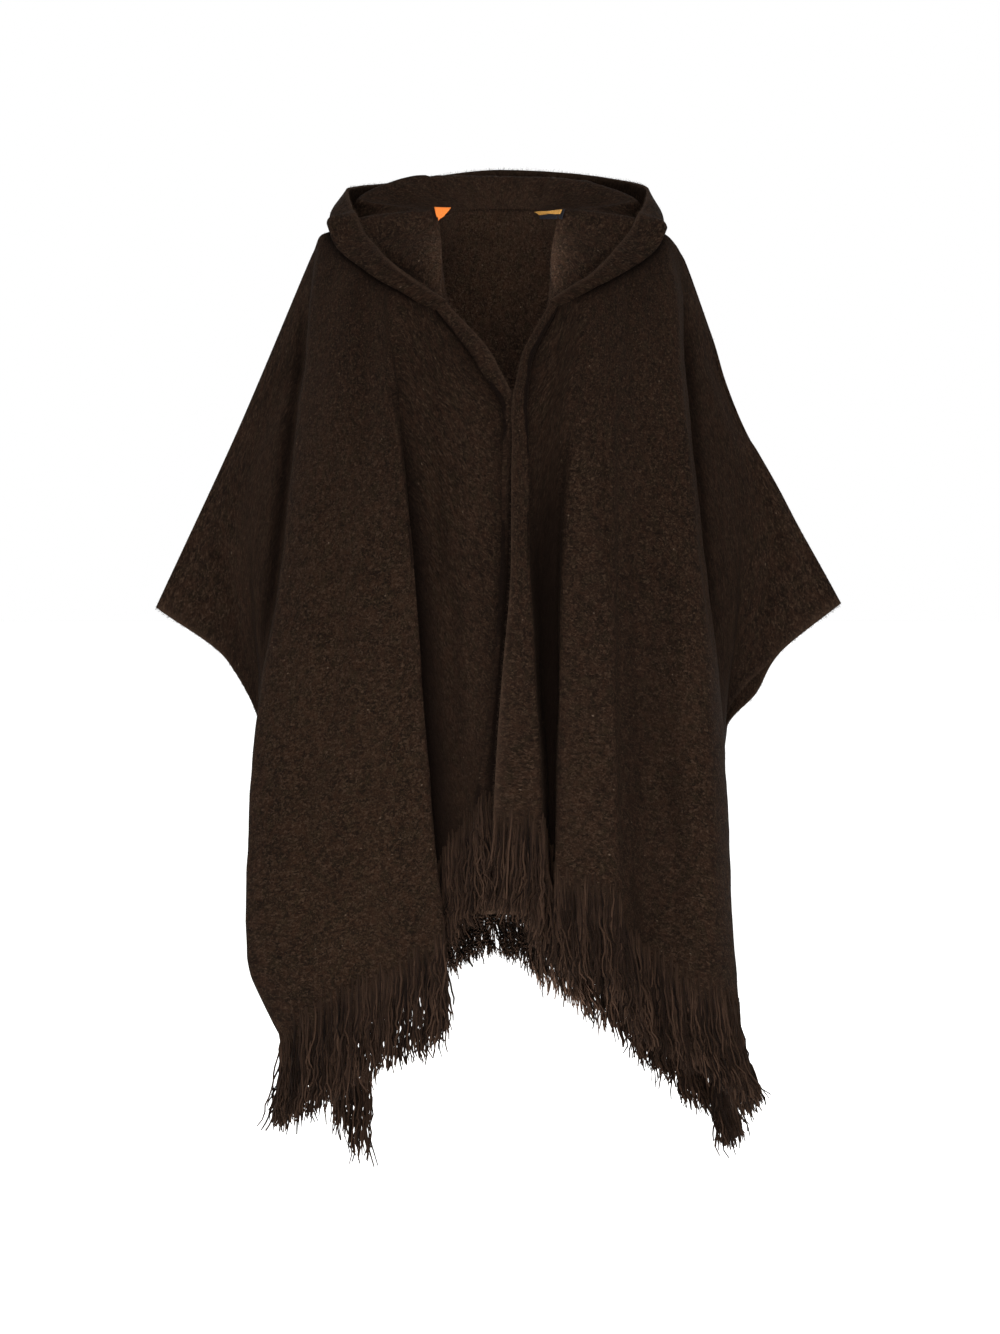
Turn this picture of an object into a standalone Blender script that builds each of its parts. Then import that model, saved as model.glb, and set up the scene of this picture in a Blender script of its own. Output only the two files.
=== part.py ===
"""Hooded cape of thick brushed wool, open at the front, with a yarn fringe on both hems.

The cape is filled out as if worn. Z is up and the front faces -Y. The origin is between the
shoulders, where the wearer holds it up. Each sewn piece is one closed wall of cloth, made from
a short table of its folds: a row for each fold line, which runs from the neck or the shoulder
ridge down to the hem.
"""
import bpy
import numpy as np
from mathutils import Vector
from mathutils.bvhtree import BVHTree

UNIT = 0.00115  # metres for one unit of the tables' across and down
MIDDLE = 500.0  # across of the middle line
SHOULDER = 230.0  # down of the origin
AIM_DOWN = 667.0  # down of the point that the tables are sighted on
EYE_DISTANCE = 4.5  # the folds are given as sighted from this far in front
EYE_PITCH = np.radians(2.5)  # and looking down by this much

WALL = 0.003  # cloth thickness
SEAM_GAP = 0.0004  # left between two sewn pieces
HOOD_CLEARANCE = 0.0058  # between the middles of the hood's wall and of the cloth under it
STRIP_HEIGHT = 0.006  # strip that carries the fringe
STRIP_GAP = 0.0009  # from the cloth's edge to that strip
STRAND_WIDTH = 0.0052
STRAND_LENGTH = 0.094
ROUND_SHOULDER = 1.7  # 1 is a tent's straight ridge, 3 the roundest
STRAND_PITCH = 0.0088  # from strand to strand, seen from above

# Shares of the way from the top of a fold line to the hem at which its place is given.
STATIONS = (0.0, 0.12, 0.30, 0.50, 0.72, 0.88, 1.0)
ROWS = (0.0, 0.02, 0.06, 0.12, 0.18, 0.24, 0.30, 0.37, 0.44, 0.52, 0.60, 0.68, 0.76, 0.84, 0.92, 1.0)

# Each fold: name, down at top, down at hem, steps to the next fold,
# across at each station, depth in mm at each station (front is minus).
FRONT_L = (
    ("front edge", 306, 812, 2, (442, 502, 511, 511, 505, 498, 490), (-104, -143, -166, -173, -178, -178, -173)),
    ("band edge", 311, 811, 1, (438, 488, 505, 502, 496, 486, 474), (-107, -150, -175, -184, -190, -189, -182)),
    ("under band", 307, 812, 3, (438, 486, 504, 501, 495, 485, 473), (-99, -141, -167, -177, -184, -183, -176)),
    ("recess", 268, 846, 3, (441, 450, 462, 460, 457, 455, 455), (-62, -122, -158, -170, -168, -160, -150)),
    ("deep valley", 219, 879, 2, (436, 404, 411, 424, 433, 438, 441), (-1.9, -94, -139, -150, -146, -138, -129)),
    ("valley wall", 220, 886, 2, (418, 389, 400, 411, 420, 426, 429), (-1.9, -93, -138, -147, -142, -134, -127)),
    ("pleat ridge", 222, 945, 3, (398, 383, 400, 414, 425, 435, 444), (-1.9, -96, -162, -186, -184, -175, -165)),
    ("pleat face", 227, 988, 2, (365, 350, 349, 350, 355, 363, 374), (-1.9, -92, -150, -170, -168, -160, -150)),
    ("pleat outer", 231, 1021, 3, (340, 326, 314, 303, 299, 306, 323), (-1.9, -80, -128, -148, -150, -146, -138)),
    ("pleat edge", 236, 1045, 3, (322, 307, 289, 267, 250, 247, 285), (-1.9, -58, -95, -116, -118, -114, -105)),
    ("wing valley", 254, 1050, 3, (314, 311, 296, 276, 259, 257, 289), (-1.9, -26, -48, -60, -68, -70, -74)),
    ("wing face", 424, 1051, 3, (242, 247, 256, 262, 262, 266, 292), (-1.9, -32, -46, -44, -44, -44, -48)),
    ("side edge", 608, 1052, 1, (157, 228, 263, 267, 269, 274, 296), (-1.9, -16, -12, -9, -10, -14, -24)),
)
FRONT_R = (
    ("front edge", 305, 823, 2, (552, 520, 512, 511, 502, 496, 493), (-104, -140, -170, -184, -195, -196, -190)),
    ("band edge", 310, 835, 1, (556, 530, 528, 529, 534, 537, 540), (-107, -150, -178, -190, -196, -194, -186)),
    ("under band", 306, 850, 2, (557, 531, 530, 534, 540, 544, 545), (-99, -141, -169, -174, -168, -162, -158)),
    ("deep valley", 268, 865, 2, (551, 555, 544, 541, 544, 547, 548), (-62, -126, -160, -158, -146, -140, -134)),
    ("valley side", 219, 870, 2, (562, 586, 568, 558, 560, 561, 561), (-1.9, -97, -156, -158, -146, -140, -134)),
    ("stripe left", 222, 884, 3, (598, 602, 583, 566, 560, 558, 556), (-1.9, -96, -160, -180, -184, -180, -174)),
    ("stripe right", 224, 900, 1, (618, 622, 611, 611, 611, 613, 611), (-1.9, -92, -158, -176, -180, -176, -168)),
    ("step", 226, 942, 2, (630, 633, 620, 618, 620, 624, 628), (-1.9, -90, -152, -166, -168, -162, -154)),
    ("soft valley", 229, 960, 2, (645, 652, 652, 655, 655, 651, 646), (-1.9, -83, -139, -153, -153, -146, -138)),
    ("outer ridge", 234, 998, 3, (668, 680, 690, 700, 706, 708, 703), (-1.9, -68, -116, -136, -146, -144, -138)),
    ("pleat edge", 238, 1015, 3, (680, 686, 698, 715, 726, 732, 738), (-1.9, -46, -82, -102, -110, -110, -104)),
    ("wing valley", 254, 1020, 3, (687, 683, 692, 706, 718, 724, 733), (-1.9, -24, -46, -56, -62, -64, -66)),
    ("wing face", 424, 1024, 3, (744, 742, 735, 724, 718, 718, 724), (-1.9, -30, -42, -40, -40, -40, -42)),
    ("side edge", 604, 1026, 1, (840, 777, 722, 716, 713, 714, 718), (-1.9, -16, -12, -9, -10, -12, -20)),
)
BACK = (
    ("left side edge", 608, 1061, 3, (157, 229, 265, 272, 292, 328, 366), (1.9, 10, -4, 3, 12, 22, 34)),
    ("left wing", 424, 1004, 3, (242, 247, 259, 262, 263, 276, 300), (1.9, 30, 45, 50, 54, 58, 60)),
    ("left wing valley", 254, 988, 2, (314, 308, 290, 272, 262, 266, 290), (1.9, 40, 68, 80, 88, 92, 94)),
    ("left ridge", 232, 970, 2, (340, 322, 298, 283, 278, 286, 308), (1.9, 75, 116, 136, 145, 145, 140)),
    ("left valley", 226, 948, 2, (372, 360, 345, 338, 338, 345, 356), (1.9, 90, 130, 140, 136, 132, 128)),
    ("left fold", 219, 922, 2, (436, 410, 403, 398, 396, 399, 406), (1.9, 102, 149, 166, 168, 164, 158)),
    ("left inner valley", 212, 900, 2, (462, 459, 456, 452, 448, 448, 454), (48, 110, 141, 148, 146, 142, 138)),
    ("centre fold", 211, 896, 2, (500, 503, 506, 509, 510, 508, 503), (62, 114, 145, 157, 160, 158, 152)),
    ("right inner valley", 212, 908, 2, (537, 546, 554, 560, 562, 560, 554), (48, 106, 136, 139, 134, 130, 128)),
    ("right fold", 219, 944, 2, (562, 592, 600, 606, 608, 606, 600), (1.9, 100, 146, 160, 163, 161, 156)),
    ("right valley", 226, 990, 2, (628, 640, 655, 661, 661, 656, 650), (1.9, 90, 128, 138, 134, 128, 124)),
    ("right ridge", 232, 1034, 2, (662, 680, 698, 710, 714, 710, 700), (1.9, 75, 114, 132, 140, 138, 130)),
    ("right wing valley", 254, 1050, 3, (687, 693, 706, 718, 722, 724, 722), (1.9, 40, 66, 76, 82, 84, 84)),
    ("right wing", 424, 1058, 3, (744, 742, 733, 724, 721, 721, 720), (1.9, 30, 42, 44, 45, 45, 44)),
    ("right side edge", 604, 1062, 1, (840, 774, 722, 718, 716, 715, 714), (1.9, 14, -2, 4, 8, 11, 14)),
)

# The hood lies open. Each section: name, steps to the next, then (across, down, depth in mm) at
# the neck seam, the fold over the nape, the fall behind it, the bag's bottom, the outer wall
# and the free rim.
HOOD = (
    ("left end", 3, (441, 302, -105), (441, 301, -106), (441, 301, -108), (441, 302, -111), (440, 305, -114), (445, 298, -117)),
    ("left front", 3, (441, 264, -58), (435, 264, -62), (426, 268, -68), (406, 282, -84), (396, 289, -90), (406, 273, -104)),
    ("left side", 3, (437, 215, -1), (425, 215, -3), (404, 216, -6), (352, 234, -14), (333, 235, -18), (358, 222, -30)),
    ("left corner", 3, (449, 213.3, 26), (370, 198, 36), (360, 206, 50), (344, 246, 66), (333, 214, 52), (347, 190, 50)),
    ("left back", 3, (466, 209.6, 50), (424, 176, 68), (415, 212, 90), (396, 298, 146), (382, 262, 182), (402, 182, 146)),
    ("centre back", 3, (500, 209.3, 62), (500, 177, 82), (500, 222, 102), (500, 322, 150), (500, 280, 190), (500, 170, 162)),
    ("right back", 3, (533, 209.6, 50), (568, 180, 68), (584, 213, 90), (604, 298, 146), (618, 262, 182), (600, 177, 146)),
    ("right corner", 3, (550, 213.3, 26), (622, 198, 36), (636, 207, 48), (650, 246, 66), (661, 216, 52), (648, 191, 50)),
    ("right side", 3, (561, 215, -1), (574, 215, -3), (596, 216, -6), (644, 234, -14), (664, 236, -18), (636, 222, -30)),
    ("right front", 3, (552, 264, -58), (557, 264, -62), (566, 268, -68), (588, 280, -84), (598, 286, -90), (588, 274, -104)),
    ("right end", 1, (553, 302, -105), (553, 301, -106), (553, 301, -108), (553, 302, -111), (555, 305, -114), (549, 298, -117)),
)
HOOD_RAILS = (0.0, 0.18, 0.32, 0.62, 0.82, 1.0)  # share of the hood's depth at each rail
HOOD_STEPS = 14


def remove_start_objects():
    for thing in list(bpy.data.objects):
        bpy.data.objects.remove(thing, do_unlink=True)


def smooth_line(places, values, wanted, start=1.0):
    """Pass smoothly through the values, with no swing past them.

    start makes the line leave its first place that much more steeply than a straight line.
    """
    places = np.asarray(places, float)
    values = np.asarray(values, float)
    gaps = np.diff(places)
    slopes = np.diff(values, axis=0) / gaps.reshape(-1, *([1] * (values.ndim - 1)))
    ends = np.zeros_like(values)
    for i in range(1, len(places) - 1):
        before = slopes[i - 1]
        after = slopes[i]
        same = before * after > 0
        weight_a = 2 * gaps[i] + gaps[i - 1]
        weight_b = gaps[i] + 2 * gaps[i - 1]
        safe_before = np.where(same, before, 1.0)
        safe_after = np.where(same, after, 1.0)
        mean = (weight_a + weight_b) / (weight_a / safe_before + weight_b / safe_after)
        ends[i] = np.where(same, mean, 0.0)
    ends[0] = slopes[0] * start
    ends[-1] = slopes[-1]
    out = []
    for place in wanted:
        i = int(np.clip(np.searchsorted(places, place, side="right") - 1, 0, len(places) - 2))
        share = (place - places[i]) / gaps[i]
        a = 2 * share**3 - 3 * share**2 + 1
        b = share**3 - 2 * share**2 + share
        c = -2 * share**3 + 3 * share**2
        d = share**3 - share**2
        out.append(a * values[i] + b * gaps[i] * ends[i] + c * values[i + 1] + d * gaps[i] * ends[i + 1])
    return np.array(out)


def as_sighted(seen):
    """Turn across, down and depth in mm into x, y, z in metres."""
    seen = np.asarray(seen, float)
    side = (seen[..., 0] - MIDDLE) * UNIT / EYE_DISTANCE
    rise = (AIM_DOWN - seen[..., 1]) * UNIT / EYE_DISTANCE
    depth = seen[..., 2] / 1000
    aim_height = (SHOULDER - AIM_DOWN) * UNIT
    eye_y = -EYE_DISTANCE * np.cos(EYE_PITCH)
    eye_z = aim_height + EYE_DISTANCE * np.sin(EYE_PITCH)
    reach = (depth - eye_y) / (np.cos(EYE_PITCH) + rise * np.sin(EYE_PITCH))
    x = reach * side
    z = eye_z + reach * (rise * np.cos(EYE_PITCH) - np.sin(EYE_PITCH))
    return np.stack([x, depth, z], axis=-1)


def places_between(steps):
    wanted = []
    for i, count in enumerate(steps[:-1]):
        for k in range(count):
            wanted.append(i + k / count)
    wanted.append(len(steps) - 1)
    return wanted


def panel_grid(folds):
    """Give the middle of the cloth as points by fold (first index) and by row (second)."""
    lines = []
    for name, top, hem, steps, across, depth in folds:
        down = [top + (hem - top) * share for share in STATIONS]
        stops = np.array([across, down, depth], float).T
        round_off = ROUND_SHOULDER if abs(depth[0]) < 5 else 1.0
        lines.append(smooth_line(STATIONS, stops, ROWS, start=(1.0, 1.0, round_off)))
    wanted = places_between([fold[3] for fold in folds])
    seen = smooth_line(range(len(folds)), np.array(lines), wanted)
    return as_sighted(seen)


def hood_grid():
    wanted = places_between([section[1] for section in HOOD])
    rails = np.array([section[2:] for section in HOOD], float)
    around = smooth_line(range(len(HOOD)), rails, wanted)
    depths = [k / HOOD_STEPS for k in range(HOOD_STEPS + 1)]
    across = [smooth_line(HOOD_RAILS, section, depths) for section in around]
    return as_sighted(np.array(across))


def grid_normals(grid):
    along = np.gradient(grid, axis=0)
    down = np.gradient(grid, axis=1)
    normals = np.cross(along, down)
    return normals / np.linalg.norm(normals, axis=-1, keepdims=True)


def grid_triangles(grid):
    """Cut each cell along its shorter diagonal."""
    columns = grid.shape[0]
    rows = grid.shape[1]
    found = []
    for i in range(columns - 1):
        for j in range(rows - 1):
            a = i * rows + j
            b = a + rows
            c = b + 1
            d = a + 1
            first = np.linalg.norm(grid[i, j] - grid[i + 1, j + 1])
            second = np.linalg.norm(grid[i + 1, j] - grid[i, j + 1])
            if first <= second:
                found += [(a, b, c), (a, c, d)]
            else:
                found += [(a, b, d), (b, c, d)]
    return found


def tree_of(grid):
    points = [Vector(point) for point in grid.reshape(-1, 3)]
    return BVHTree.FromPolygons(points, grid_triangles(grid))


def lift_off(grid, trees):
    """Move points that are too near the cloth under them outward, to the clearance."""
    lifted = grid.copy()
    inside = Vector((0.0, 0.0, -0.16))
    for i in range(grid.shape[0]):
        for j in range(grid.shape[1]):
            if j == 0 and grid[i, j, 1] > 0.005:
                continue
            point = Vector(grid[i, j])
            for tree in trees:
                spot, normal, index, distance = tree.find_nearest(point)
                if normal.dot(spot - inside) < 0:
                    normal.negate()
                height = (point - spot).dot(normal)
                if distance < 0.03 and height < HOOD_CLEARANCE:
                    point = point + normal * (HOOD_CLEARANCE - height)
            lifted[i, j] = point
    return lifted


def make_object(name, points, faces, colour, roughness):
    mesh = bpy.data.meshes.new(name)
    mesh.from_pydata([tuple(point) for point in points], [], faces)
    mesh.validate()
    piece = bpy.data.objects.new(name, mesh)
    bpy.context.scene.collection.objects.link(piece)
    material = bpy.data.materials.new(name + "_material")
    material.use_nodes = True
    shader = material.node_tree.nodes["Principled BSDF"]
    shader.inputs["Base Color"].default_value = (*colour, 1.0)
    shader.inputs["Roughness"].default_value = roughness
    mesh.materials.append(material)
    face_outward(mesh)
    return piece


def face_outward(mesh):
    volume = 0.0
    for polygon in mesh.polygons:
        corners = [mesh.vertices[k].co for k in polygon.vertices]
        for k in range(1, len(corners) - 1):
            volume += corners[0].dot(corners[k].cross(corners[k + 1]))
    if volume < 0:
        mesh.flip_normals()


def wall(name, grid, normals, colour, roughness=0.9):
    """Thicken a grid of points into one closed wall of cloth."""
    columns = grid.shape[0]
    rows = grid.shape[1]
    outer = (grid + normals * WALL / 2).reshape(-1, 3)
    inner = (grid - normals * WALL / 2).reshape(-1, 3)
    count = len(outer)
    triangles = grid_triangles(grid)
    faces = list(triangles)
    faces += [(c + count, b + count, a + count) for a, b, c in triangles]
    edge = [i * rows for i in range(columns)]
    edge += [(columns - 1) * rows + j for j in range(1, rows)]
    edge += [i * rows + rows - 1 for i in range(columns - 2, -1, -1)]
    edge += [j for j in range(rows - 2, 0, -1)]
    for here, there in zip(edge, edge[1:] + edge[:1]):
        faces.append((here, here + count, there + count))
        faces.append((here, there + count, there))
    return make_object(name, np.vstack([outer, inner]), faces, colour, roughness)


def sway(number, speed, amount):
    return amount * np.sin(number * speed + 0.7 * np.sin(number * 0.37))


def is_crowded(root, drift, reach, panels):
    for share in (0.05, 0.09, 0.14, 0.2, 0.3, 0.45, 0.7, 1.0):
        point = root + drift * share**1.5 + np.array([0, 0, -reach * share])
        for panel in panels:
            if panel.find_nearest(Vector(point))[3] < 0.0042:
                return True
    return False


def hem_line(grid):
    """Give the hem's points, the cloth's direction across it and down it."""
    down = grid[:, -1] - grid[:, -2]
    down /= np.linalg.norm(down, axis=-1, keepdims=True)
    return grid[:, -1], grid_normals(grid)[:, -1], down


def fringe(name, grid, colour, panels, lean, shorter=0.0):
    """Hang strands of four sides from a narrow strip just below the hem.

    lean is the drift of the tips at the first and at the last strand; shorter is the share
    taken off the strands half way along. A strand that would touch a panel is left out.
    """
    line, normals, downs = hem_line(grid)
    along = np.diff(line, axis=0)
    along /= np.linalg.norm(along, axis=-1, keepdims=True)
    level = np.linalg.norm(np.cross(along, downs[1:] + downs[:-1]) / 2, axis=-1)
    steep = np.concatenate([level[:1], np.minimum(level[1:], level[:-1]), level[-1:]])
    slants = np.repeat(1 / steep[:, None], 3, axis=1)
    steps = np.linalg.norm(np.diff(line[:, :2], axis=0), axis=1)
    travel = np.concatenate([[0.0], np.cumsum(steps)])
    count = int(travel[-1] / STRAND_PITCH)
    length = travel[-1] / count
    half = min(STRAND_WIDTH, length * 0.62) / 2
    stops = [0.0]
    for k in range(count):
        middle = (k + 0.5) * length
        stops += [middle - half, middle + half]
    stops.append(travel[-1])
    points = []
    faces = []

    def add(point):
        points.append(point)
        return len(points) - 1

    def on_hem(stop, values):
        return np.array([np.interp(stop, travel, values[:, k]) for k in range(3)])

    rings = []
    for stop in stops:
        place = on_hem(stop, line)
        out = on_hem(stop, normals)
        out /= np.linalg.norm(out)
        down = on_hem(stop, downs)
        down /= np.linalg.norm(down)
        gap = STRIP_GAP * min(on_hem(stop, slants)[0], 4.0)
        top = place + down * gap
        low = place + down * (gap + STRIP_HEIGHT)
        side = out * WALL / 2
        rings.append([add(top + side), add(top - side), add(low - side), add(low + side)])
    for k in range(len(rings) - 1):
        a = rings[k]
        b = rings[k + 1]
        is_root = k % 2 == 1
        faces.append((a[0], b[0], b[1], a[1]))
        faces.append((a[1], b[1], b[2], a[2]))
        faces.append((a[3], b[3], b[0], a[0]))
        if not is_root:
            faces.append((a[2], b[2], b[3], a[3]))
            continue
        number = k // 2
        share = (number + 0.5) / count
        root = [a[2], b[2], b[3], a[3]]
        centre = np.mean([points[corner] for corner in root], axis=0)
        reach = STRAND_LENGTH * (1 + sway(number, 2.3, 0.05) + sway(number, 0.61, 0.05))
        reach *= 1 - shorter * np.sin(np.pi * share) ** 4
        aside = lean[0] * (1 - share) + lean[1] * share + sway(number, 0.9, 0.003)
        drift = np.array([aside, sway(number, 0.7, 0.003), 0.0])
        if is_crowded(centre, drift, reach, panels):
            faces.append((a[2], b[2], b[3], a[3]))
            continue
        knee = centre + drift * 0.3 + np.array([0, 0, -0.45 * reach])
        tip = centre + drift + np.array([0, 0, -reach])
        ring = []
        for corner in root:
            flat = points[corner] - centre
            flat[2] *= 0.1
            ring.append(add(knee + flat * 0.92))
        end = add(tip)
        for m in range(4):
            n = (m + 1) % 4
            faces.append((root[m], root[n], ring[n], ring[m]))
            faces.append((ring[m], ring[n], end))
    faces.append(tuple(rings[0]))
    faces.append(tuple(reversed(rings[-1])))
    return make_object(name, points, faces, colour, 0.95)


def label(name, corners, thickness, colour):
    """Make a small flat swatch from its sighted corners."""
    flat = as_sighted(np.array(corners, float))
    across = flat[1] - flat[0]
    down = flat[-1] - flat[0]
    out = np.cross(across, down)
    out /= np.linalg.norm(out)
    count = len(flat)
    points = [*(flat + out * thickness / 2), *(flat - out * thickness / 2)]
    faces = [tuple(range(count)), tuple(range(2 * count - 1, count - 1, -1))]
    for k in range(count):
        n = (k + 1) % count
        faces.append((k, k + count, n + count, n))
    return make_object(name, points, faces, colour, 0.6)


remove_start_objects()

CLOTH = (0.018, 0.0098, 0.0066)
YARN = (0.021, 0.0118, 0.0084)

front_l = panel_grid(FRONT_L)
front_r = panel_grid(FRONT_R)
back = panel_grid(BACK)
panels = [tree_of(front_l), tree_of(front_r), tree_of(back)]
hood = lift_off(hood_grid(), panels)

wall("front_panel_l", front_l, grid_normals(front_l), CLOTH)
wall("front_panel_r", front_r, grid_normals(front_r), CLOTH)
wall("back_panel", back, grid_normals(back), CLOTH)

half_way = hood.shape[0] // 2
hood_left = hood[: half_way + 1].copy()
hood_right = hood[half_way:].copy()
hood_left[-1, :, 0] -= SEAM_GAP / 2
hood_right[0, :, 0] += SEAM_GAP / 2
hood_normals = grid_normals(hood)
wall("hood_l", hood_left, hood_normals[: half_way + 1], CLOTH)
wall("hood_r", hood_right, hood_normals[half_way:], CLOTH)

fringe("fringe_front_l", front_l, YARN, panels, (0.007, -0.010))
fringe("fringe_front_r", front_r, YARN, panels, (-0.010, 0.026))
fringe("fringe_back", back, YARN, panels, (-0.002, 0.006), shorter=0.42)

label("neck_tab", ((435, 208, -31), (451, 208, 1), (452, 211, 3), (440, 221, -23)), 0.001, (0.57, 0.13, 0.018))
label("neck_label", ((540, 210, 18), (563, 211, -36), (563, 219, -36), (540, 218, 18)), 0.001, (0.012, 0.012, 0.016))
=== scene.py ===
import bpy
import numpy as np
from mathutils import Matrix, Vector
from mathutils.bvhtree import BVHTree


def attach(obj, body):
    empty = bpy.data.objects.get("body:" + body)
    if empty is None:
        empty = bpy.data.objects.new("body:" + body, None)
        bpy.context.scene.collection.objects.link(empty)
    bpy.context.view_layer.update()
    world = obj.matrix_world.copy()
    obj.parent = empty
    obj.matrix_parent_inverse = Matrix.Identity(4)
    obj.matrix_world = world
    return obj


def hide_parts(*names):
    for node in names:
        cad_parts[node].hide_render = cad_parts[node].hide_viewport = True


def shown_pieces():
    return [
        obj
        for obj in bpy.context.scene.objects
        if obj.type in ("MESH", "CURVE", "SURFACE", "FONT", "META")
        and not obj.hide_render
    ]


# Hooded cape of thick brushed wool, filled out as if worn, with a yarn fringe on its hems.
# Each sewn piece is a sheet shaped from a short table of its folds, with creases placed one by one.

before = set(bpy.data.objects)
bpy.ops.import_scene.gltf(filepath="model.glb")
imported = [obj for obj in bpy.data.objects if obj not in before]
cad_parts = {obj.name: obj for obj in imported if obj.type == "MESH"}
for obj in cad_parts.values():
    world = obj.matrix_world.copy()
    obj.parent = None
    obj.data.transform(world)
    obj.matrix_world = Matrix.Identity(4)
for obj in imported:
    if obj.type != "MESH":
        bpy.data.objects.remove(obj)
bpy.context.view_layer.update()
rideBody = "root"
print("stage 1: frame loaded,", len(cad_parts), "nodes")

sight = {
    "unit": 0.00115,  # metres for one unit of the tables' across and down
    "middle": 500.0,  # across of the cape's middle
    "shoulder": 230.0,  # down of the point between the shoulders
    "aim": 667.0,  # down of the point that the camera looks at
    "distance": 4.5,  # metres from the camera to the cape
    "pitch": np.radians(2.5),  # the camera looks down by this much
    "frameHeight": 1334.0,
    "sensor": 24.0,
}

stations = (0.0, 0.12, 0.30, 0.50, 0.72, 0.88, 1.0)  # shares of a fold line at which its place is given
ridgeShares = (0.0, 0.0004, 0.0011, 0.0022)  # close rows that turn over the shoulder ridge
ridgeRadius = 0.0019
ridgeNear = 0.0022  # a fold line that starts nearer than this to the ridge turns over it
foldSamples = 40  # steps between two folds when their distance is measured


def smoothLine(places, values, wanted, start=1.0):
    # Passes through the values with no swing past them; start steepens the line's beginning.
    places = np.asarray(places, float)
    values = np.asarray(values, float)
    wanted = np.asarray(wanted, float)
    gaps = np.diff(places)
    slopes = np.diff(values, axis=0) / gaps.reshape(-1, *([1] * (values.ndim - 1)))
    ends = np.zeros_like(values)
    for i in range(1, len(places) - 1):
        before, after = slopes[i - 1], slopes[i]
        same = before * after > 0
        weightA = 2 * gaps[i] + gaps[i - 1]
        weightB = gaps[i] + 2 * gaps[i - 1]
        parts = weightA / np.where(same, before, 1) + weightB / np.where(same, after, 1)
        mean = (weightA + weightB) / parts
        ends[i] = np.where(same, mean, 0.0)
    ends[0] = slopes[0] * start
    ends[-1] = slopes[-1]
    i = np.clip(np.searchsorted(places, wanted, side="right") - 1, 0, len(places) - 2)
    shape = (-1,) + (1,) * (values.ndim - 1)
    t = ((wanted - places[i]) / gaps[i]).reshape(shape)
    gap = gaps[i].reshape(shape)
    first = (2 * t**3 - 3 * t**2 + 1) * values[i] + (t**3 - 2 * t**2 + t) * gap * ends[i]
    return first + (3 * t**2 - 2 * t**3) * values[i + 1] + (t**3 - t**2) * gap * ends[i + 1]


def asSighted(seen):
    # Turns across, down and depth in mm into x, y, z in metres.
    seen = np.asarray(seen, float)
    side = (seen[..., 0] - sight["middle"]) * sight["unit"] / sight["distance"]
    rise = (sight["aim"] - seen[..., 1]) * sight["unit"] / sight["distance"]
    depth = seen[..., 2] / 1000
    cosine, sine = np.cos(sight["pitch"]), np.sin(sight["pitch"])
    eye = eyePlace()
    reach = (depth - eye[1]) / (cosine + rise * sine)
    return np.stack([reach * side, depth, eye[2] + reach * (rise * cosine - sine)], axis=-1)


def eyePlace():
    aimHeight = (sight["shoulder"] - sight["aim"]) * sight["unit"]
    back = sight["distance"] * np.cos(sight["pitch"])
    return (0.0, -back, aimHeight + sight["distance"] * np.sin(sight["pitch"]))


def backToSight(points):
    # Gives across and down of points in metres, as the camera sees them.
    eye = eyePlace()
    cosine, sine = np.cos(sight["pitch"]), np.sin(sight["pitch"])
    forward, up = points[..., 1] - eye[1], points[..., 2] - eye[2]
    reach = forward * cosine - up * sine
    rise = (forward * sine + up * cosine) / reach
    across = sight["middle"] + points[..., 0] / reach * sight["distance"] / sight["unit"]
    return across, sight["aim"] - rise * sight["distance"] / sight["unit"]


def unitVectors(vectors):
    return vectors / np.maximum(np.linalg.norm(vectors, axis=-1, keepdims=True), 1e-12)


def eased(share):
    return share * share * (3 - 2 * share)


def runningLength(steps):
    return np.concatenate([[0.0], np.cumsum(steps)])


def lineLength(line):
    return runningLength(np.linalg.norm(np.diff(line, axis=0), axis=1))


def valuesAt(spot, travel, values):
    return np.stack([np.interp(spot, travel, values[:, k]) for k in range(3)], axis=1)


def flatPlaces(grid):
    # Metres across and down the cloth at each point of its grid.
    across = runningLength(np.linalg.norm(np.diff(grid, axis=0), axis=-1).mean(axis=1))
    lengths = np.linalg.norm(np.diff(grid, axis=1), axis=-1)
    return across, np.concatenate([np.zeros((len(grid), 1)), np.cumsum(lengths, axis=1)], axis=1)


def gridNormals(grid, outward):
    return unitVectors(np.cross(np.gradient(grid, axis=0), np.gradient(grid, axis=1))) * outward


mixers = {  # large odd numbers that scatter the noise's lattice
    "axes": np.array([73856093, 19349663, 83492791]),
    "seed": 2654435,
    "last": 1274126177,
}


def softNoise(points, size, seed):
    # Smooth unevenness from -1 to 1 with bumps of about that size.
    lattice = np.asarray(points, float) / size
    base = np.floor(lattice).astype(np.int64)
    share = lattice - base
    share = eased(share)
    total = np.zeros(lattice.shape[:-1])
    for corner in range(8):
        offset = np.array([(corner >> k) & 1 for k in range(3)])
        cell = base + offset
        mixed = np.bitwise_xor.reduce(cell * mixers["axes"], axis=-1) ^ (seed * mixers["seed"])
        mixed = ((mixed ^ (mixed >> 13)) * mixers["last"]) & 0xFFFFFFFF
        value = ((mixed ^ (mixed >> 16)) & 0xFFFF) / 65535.0
        total += value * np.prod(np.where(offset == 1, share, 1 - share), axis=-1)
    return total * 2 - 1


def evenPlaces(lines, pitch, firstDenser=1.0):
    # Places between the folds, about a pitch apart over the cloth.
    sample = np.linspace(0, len(lines) - 1, foldSamples * (len(lines) - 1) + 1)
    shape = asSighted(smoothLine(range(len(lines)), lines, sample))
    step = np.linalg.norm(np.diff(shape, axis=0), axis=-1)
    step = 0.5 * step.mean(axis=1) + 0.5 * step.max(axis=1)
    step[: foldSamples * 2] *= firstDenser
    travel = runningLength(step)
    count = int(round(travel[-1] / pitch))
    return np.interp(np.linspace(0, travel[-1], count + 1), travel, sample)


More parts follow.
